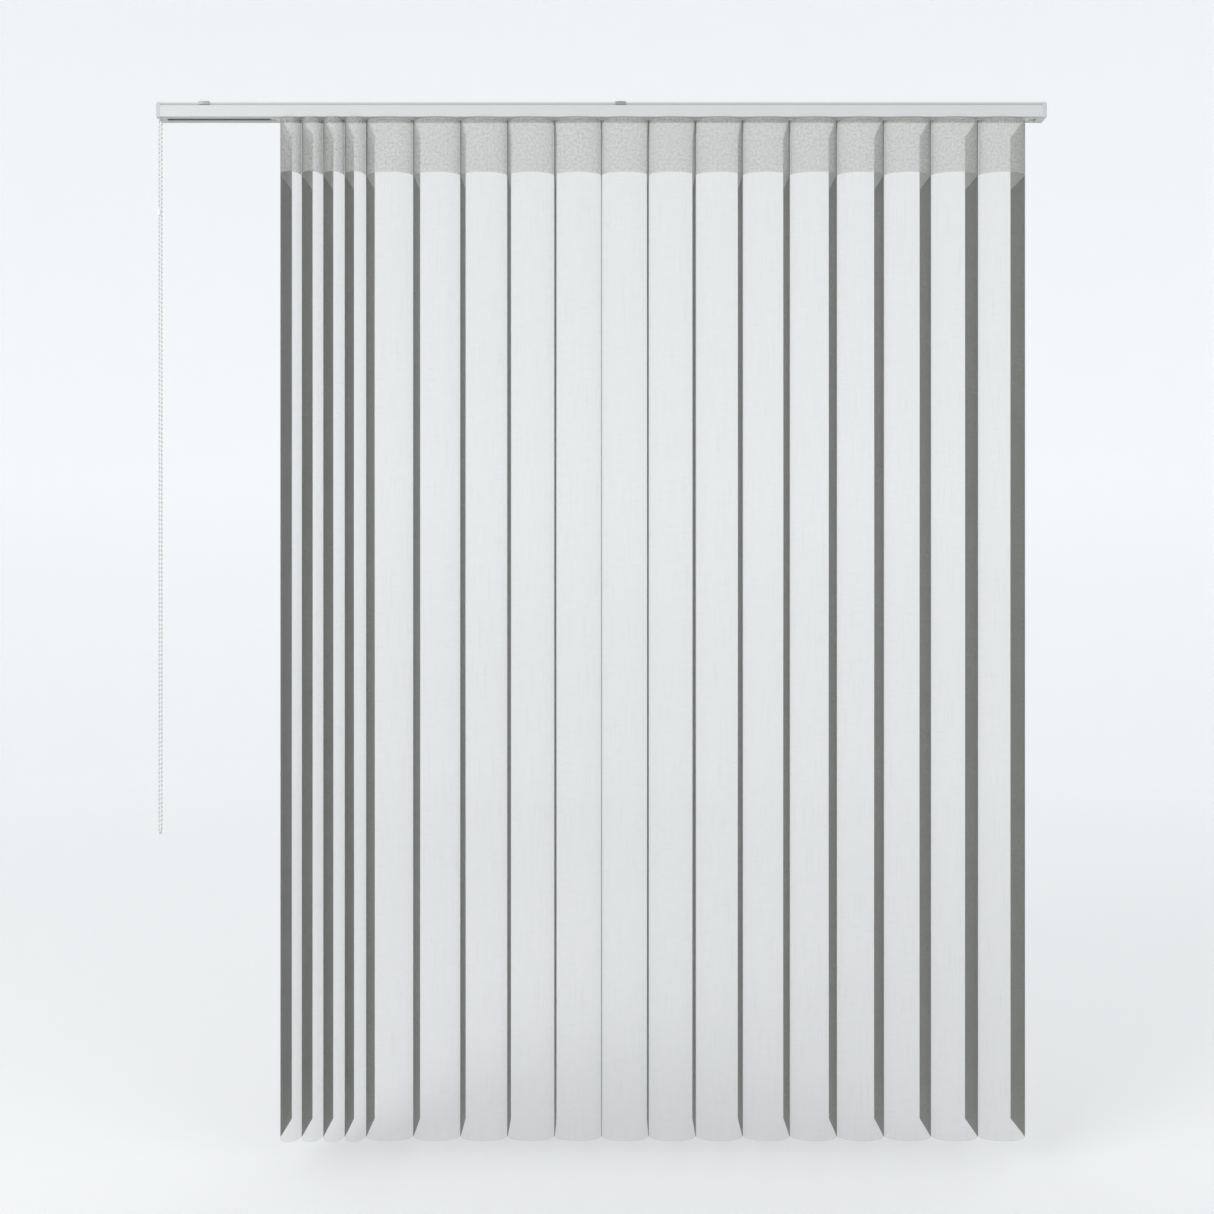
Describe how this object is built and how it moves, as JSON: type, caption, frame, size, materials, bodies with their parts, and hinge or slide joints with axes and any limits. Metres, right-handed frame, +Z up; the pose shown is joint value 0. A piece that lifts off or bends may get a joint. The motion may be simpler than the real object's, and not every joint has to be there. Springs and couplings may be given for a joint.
{
  "type": "vertical blind",
  "caption": "Vertical blind with a slim white headrail, a bead chain, turning fabric vanes and a softly scalloped sheer curtain in front of them.",
  "frame": {"origin": "centre of the headrail's top face, at the middle of its length and depth", "axes": "+X along the headrail, away from the chain; -Y into the room, +Y towards the window; +Z up"},
  "size_m": [1.487, 0.1207, 1.7335],
  "materials": {
    "headrail_coat": "white powder coat, satin",
    "cap_plastic": "satin",
    "carrier_plastic": "satin",
    "spring_steel": "satin",
    "rod_aluminium": "satin",
    "chain_plastic": "gloss",
    "connector_plastic": "gloss",
    "cord_braid": "matte",
    "sheer_cloth": "matte",
    "vane_cloth": "matte"
  },
  "bodies": {
    "rail": {"headrail": "headrail_coat", "control_end_cap": "cap_plastic", "idler_end_cap": "cap_plastic", "mounting_bracket_left": "spring_steel", "mounting_bracket_middle": "spring_steel", "bead_chain": "chain_plastic", "chain_connector": "connector_plastic", "traverse_cord": "cord_braid", "idler_pin": "spring_steel", "sheer_curtain": "sheer_cloth", "carrier_19": "carrier_plastic"},
    "tilt_drive": {"tilt_rod": "rod_aluminium", "chain_sprocket": "carrier_plastic"},
    "idler_pulley": {"idler_pulley": "carrier_plastic"},
    "vane_19": {"vane_19": "vane_cloth"},
    "carrier_18": {"carrier_18": "carrier_plastic"},
    "vane_18": {"vane_18": "vane_cloth"},
    "carrier_17": {"carrier_17": "carrier_plastic"},
    "vane_17": {"vane_17": "vane_cloth"},
    "carrier_16": {"carrier_16": "carrier_plastic"},
    "vane_16": {"vane_16": "vane_cloth"},
    "carrier_15": {"carrier_15": "carrier_plastic"},
    "vane_15": {"vane_15": "vane_cloth"},
    "carrier_14": {"carrier_14": "carrier_plastic"},
    "vane_14": {"vane_14": "vane_cloth"},
    "carrier_13": {"carrier_13": "carrier_plastic"},
    "vane_13": {"vane_13": "vane_cloth"},
    "carrier_12": {"carrier_12": "carrier_plastic"},
    "vane_12": {"vane_12": "vane_cloth"},
    "carrier_11": {"carrier_11": "carrier_plastic"},
    "vane_11": {"vane_11": "vane_cloth"},
    "carrier_10": {"carrier_10": "carrier_plastic"},
    "vane_10": {"vane_10": "vane_cloth"},
    "carrier_09": {"carrier_09": "carrier_plastic"},
    "vane_09": {"vane_09": "vane_cloth"},
    "carrier_08": {"carrier_08": "carrier_plastic"},
    "vane_08": {"vane_08": "vane_cloth"},
    "carrier_07": {"carrier_07": "carrier_plastic"},
    "vane_07": {"vane_07": "vane_cloth"},
    "carrier_06": {"carrier_06": "carrier_plastic"},
    "vane_06": {"vane_06": "vane_cloth"},
    "carrier_05": {"carrier_05": "carrier_plastic"},
    "vane_05": {"vane_05": "vane_cloth"},
    "carrier_04": {"carrier_04": "carrier_plastic"},
    "vane_04": {"vane_04": "vane_cloth"},
    "carrier_03": {"carrier_03": "carrier_plastic"},
    "vane_03": {"vane_03": "vane_cloth"},
    "carrier_02": {"carrier_02": "carrier_plastic"},
    "vane_02": {"vane_02": "vane_cloth"},
    "carrier_01": {"carrier_01": "carrier_plastic"},
    "vane_01": {"vane_01": "vane_cloth"}
  },
  "joints": [
    {"name": "carrier_18_slide", "type": "slide", "parent": "rail", "child": "carrier_18", "axis": [1, 0, 0], "range_m": [0, 0.043], "deforming": ["sheer_curtain"]},
    {"name": "carrier_17_slide", "type": "slide", "parent": "carrier_18", "child": "carrier_17", "axis": [1, 0, 0], "range_m": [0, 0.043], "deforming": ["sheer_curtain"]},
    {"name": "carrier_16_slide", "type": "slide", "parent": "carrier_17", "child": "carrier_16", "axis": [1, 0, 0], "range_m": [0, 0.043], "deforming": ["sheer_curtain"]},
    {"name": "carrier_15_slide", "type": "slide", "parent": "carrier_16", "child": "carrier_15", "axis": [1, 0, 0], "range_m": [0, 0.043], "deforming": ["sheer_curtain"]},
    {"name": "carrier_14_slide", "type": "slide", "parent": "carrier_15", "child": "carrier_14", "axis": [1, 0, 0], "range_m": [0, 0.043], "deforming": ["sheer_curtain"]},
    {"name": "carrier_13_slide", "type": "slide", "parent": "carrier_14", "child": "carrier_13", "axis": [1, 0, 0], "range_m": [0, 0.043], "deforming": ["sheer_curtain"]},
    {"name": "carrier_12_slide", "type": "slide", "parent": "carrier_13", "child": "carrier_12", "axis": [1, 0, 0], "range_m": [0, 0.043], "deforming": ["sheer_curtain"]},
    {"name": "carrier_11_slide", "type": "slide", "parent": "carrier_12", "child": "carrier_11", "axis": [1, 0, 0], "range_m": [0, 0.043], "deforming": ["sheer_curtain"]},
    {"name": "carrier_10_slide", "type": "slide", "parent": "carrier_11", "child": "carrier_10", "axis": [1, 0, 0], "range_m": [0, 0.043], "deforming": ["sheer_curtain"]},
    {"name": "carrier_09_slide", "type": "slide", "parent": "carrier_10", "child": "carrier_09", "axis": [1, 0, 0], "range_m": [0, 0.043], "deforming": ["sheer_curtain"]},
    {"name": "carrier_08_slide", "type": "slide", "parent": "carrier_09", "child": "carrier_08", "axis": [1, 0, 0], "range_m": [0, 0.043], "deforming": ["sheer_curtain"]},
    {"name": "carrier_07_slide", "type": "slide", "parent": "carrier_08", "child": "carrier_07", "axis": [1, 0, 0], "range_m": [0, 0.043], "deforming": ["sheer_curtain"]},
    {"name": "carrier_06_slide", "type": "slide", "parent": "carrier_07", "child": "carrier_06", "axis": [1, 0, 0], "range_m": [0, 0.043], "deforming": ["sheer_curtain"]},
    {"name": "carrier_05_slide", "type": "slide", "parent": "carrier_06", "child": "carrier_05", "axis": [1, 0, 0], "range_m": [0, 0.043], "deforming": ["sheer_curtain"]},
    {"name": "carrier_04_slide", "type": "slide", "parent": "carrier_05", "child": "carrier_04", "axis": [1, 0, 0], "range_m": [-0.043, 0], "deforming": ["sheer_curtain"]},
    {"name": "carrier_03_slide", "type": "slide", "parent": "carrier_04", "child": "carrier_03", "axis": [1, 0, 0], "range_m": [-0.043, 0], "deforming": ["sheer_curtain"]},
    {"name": "carrier_02_slide", "type": "slide", "parent": "carrier_03", "child": "carrier_02", "axis": [1, 0, 0], "range_m": [-0.043, 0], "deforming": ["sheer_curtain"]},
    {"name": "carrier_01_slide", "type": "slide", "parent": "carrier_02", "child": "carrier_01", "axis": [1, 0, 0], "range_m": [-0.043, 0], "deforming": ["sheer_curtain"]},
    {"name": "vane_19_tilt", "type": "hinge", "parent": "rail", "child": "vane_19", "pos_m": [0.711, 0, -0.03], "axis": [0, 0, 1], "range_deg": [-82, 82]},
    {"name": "vane_18_tilt", "type": "hinge", "parent": "carrier_18", "child": "vane_18", "pos_m": [0.632, 0, -0.03], "axis": [0, 0, 1], "range_deg": [-82, 82]},
    {"name": "vane_17_tilt", "type": "hinge", "parent": "carrier_17", "child": "vane_17", "pos_m": [0.553, 0, -0.03], "axis": [0, 0, 1], "range_deg": [-82, 82]},
    {"name": "vane_16_tilt", "type": "hinge", "parent": "carrier_16", "child": "vane_16", "pos_m": [0.474, 0, -0.03], "axis": [0, 0, 1], "range_deg": [-82, 82]},
    {"name": "vane_15_tilt", "type": "hinge", "parent": "carrier_15", "child": "vane_15", "pos_m": [0.395, 0, -0.03], "axis": [0, 0, 1], "range_deg": [-82, 82]},
    {"name": "vane_14_tilt", "type": "hinge", "parent": "carrier_14", "child": "vane_14", "pos_m": [0.316, 0, -0.03], "axis": [0, 0, 1], "range_deg": [-82, 82]},
    {"name": "vane_13_tilt", "type": "hinge", "parent": "carrier_13", "child": "vane_13", "pos_m": [0.237, 0, -0.03], "axis": [0, 0, 1], "range_deg": [-82, 82]},
    {"name": "vane_12_tilt", "type": "hinge", "parent": "carrier_12", "child": "vane_12", "pos_m": [0.158, 0, -0.03], "axis": [0, 0, 1], "range_deg": [-82, 82]},
    {"name": "vane_11_tilt", "type": "hinge", "parent": "carrier_11", "child": "vane_11", "pos_m": [0.079, 0, -0.03], "axis": [0, 0, 1], "range_deg": [-82, 82]},
    {"name": "vane_10_tilt", "type": "hinge", "parent": "carrier_10", "child": "vane_10", "pos_m": [0, 0, -0.03], "axis": [0, 0, 1], "range_deg": [-82, 82]},
    {"name": "vane_09_tilt", "type": "hinge", "parent": "carrier_09", "child": "vane_09", "pos_m": [-0.079, 0, -0.03], "axis": [0, 0, 1], "range_deg": [-82, 82]},
    {"name": "vane_08_tilt", "type": "hinge", "parent": "carrier_08", "child": "vane_08", "pos_m": [-0.158, 0, -0.03], "axis": [0, 0, 1], "range_deg": [-82, 82]},
    {"name": "vane_07_tilt", "type": "hinge", "parent": "carrier_07", "child": "vane_07", "pos_m": [-0.237, 0, -0.03], "axis": [0, 0, 1], "range_deg": [-82, 82]},
    {"name": "vane_06_tilt", "type": "hinge", "parent": "carrier_06", "child": "vane_06", "pos_m": [-0.316, 0, -0.03], "axis": [0, 0, 1], "range_deg": [-82, 82]},
    {"name": "vane_05_tilt", "type": "hinge", "parent": "carrier_05", "child": "vane_05", "pos_m": [-0.395, 0, -0.03], "axis": [0, 0, 1], "range_deg": [-82, 82]},
    {"name": "vane_04_tilt", "type": "hinge", "parent": "carrier_04", "child": "vane_04", "pos_m": [-0.431, 0, -0.03], "axis": [0, 0, 1], "range_deg": [-82, 82]},
    {"name": "vane_03_tilt", "type": "hinge", "parent": "carrier_03", "child": "vane_03", "pos_m": [-0.467, 0, -0.03], "axis": [0, 0, 1], "range_deg": [-82, 82]},
    {"name": "vane_02_tilt", "type": "hinge", "parent": "carrier_02", "child": "vane_02", "pos_m": [-0.503, 0, -0.03], "axis": [0, 0, 1], "range_deg": [-82, 82]},
    {"name": "vane_01_tilt", "type": "hinge", "parent": "carrier_01", "child": "vane_01", "pos_m": [-0.539, 0, -0.03], "axis": [0, 0, 1], "range_deg": [-82, 82]},
    {"name": "tilt_rod_turn", "type": "hinge", "parent": "rail", "child": "tilt_drive", "pos_m": [0, -0.0055, -0.0115], "axis": [1, 0, 0], "range_deg": [-738, 738]},
    {"name": "idler_pulley_spin", "type": "hinge", "parent": "rail", "child": "idler_pulley", "pos_m": [0.7352, 0, -0.0185], "axis": [0, 0, 1], "continuous": true}
  ],
  "couplings": [
    {"joint": "vane_18_tilt", "follows": "vane_19_tilt", "ratio": 1},
    {"joint": "vane_17_tilt", "follows": "vane_19_tilt", "ratio": 1},
    {"joint": "vane_16_tilt", "follows": "vane_19_tilt", "ratio": 1},
    {"joint": "vane_15_tilt", "follows": "vane_19_tilt", "ratio": 1},
    {"joint": "vane_14_tilt", "follows": "vane_19_tilt", "ratio": 1},
    {"joint": "vane_13_tilt", "follows": "vane_19_tilt", "ratio": 1},
    {"joint": "vane_12_tilt", "follows": "vane_19_tilt", "ratio": 1},
    {"joint": "vane_11_tilt", "follows": "vane_19_tilt", "ratio": 1},
    {"joint": "vane_10_tilt", "follows": "vane_19_tilt", "ratio": 1},
    {"joint": "vane_09_tilt", "follows": "vane_19_tilt", "ratio": 1},
    {"joint": "vane_08_tilt", "follows": "vane_19_tilt", "ratio": 1},
    {"joint": "vane_07_tilt", "follows": "vane_19_tilt", "ratio": 1},
    {"joint": "vane_06_tilt", "follows": "vane_19_tilt", "ratio": 1},
    {"joint": "vane_05_tilt", "follows": "vane_19_tilt", "ratio": 1},
    {"joint": "vane_04_tilt", "follows": "vane_19_tilt", "ratio": 1},
    {"joint": "vane_03_tilt", "follows": "vane_19_tilt", "ratio": 1},
    {"joint": "vane_02_tilt", "follows": "vane_19_tilt", "ratio": 1},
    {"joint": "vane_01_tilt", "follows": "vane_19_tilt", "ratio": 1},
    {"joint": "tilt_rod_turn", "follows": "vane_19_tilt", "ratio": 9}
  ]
}
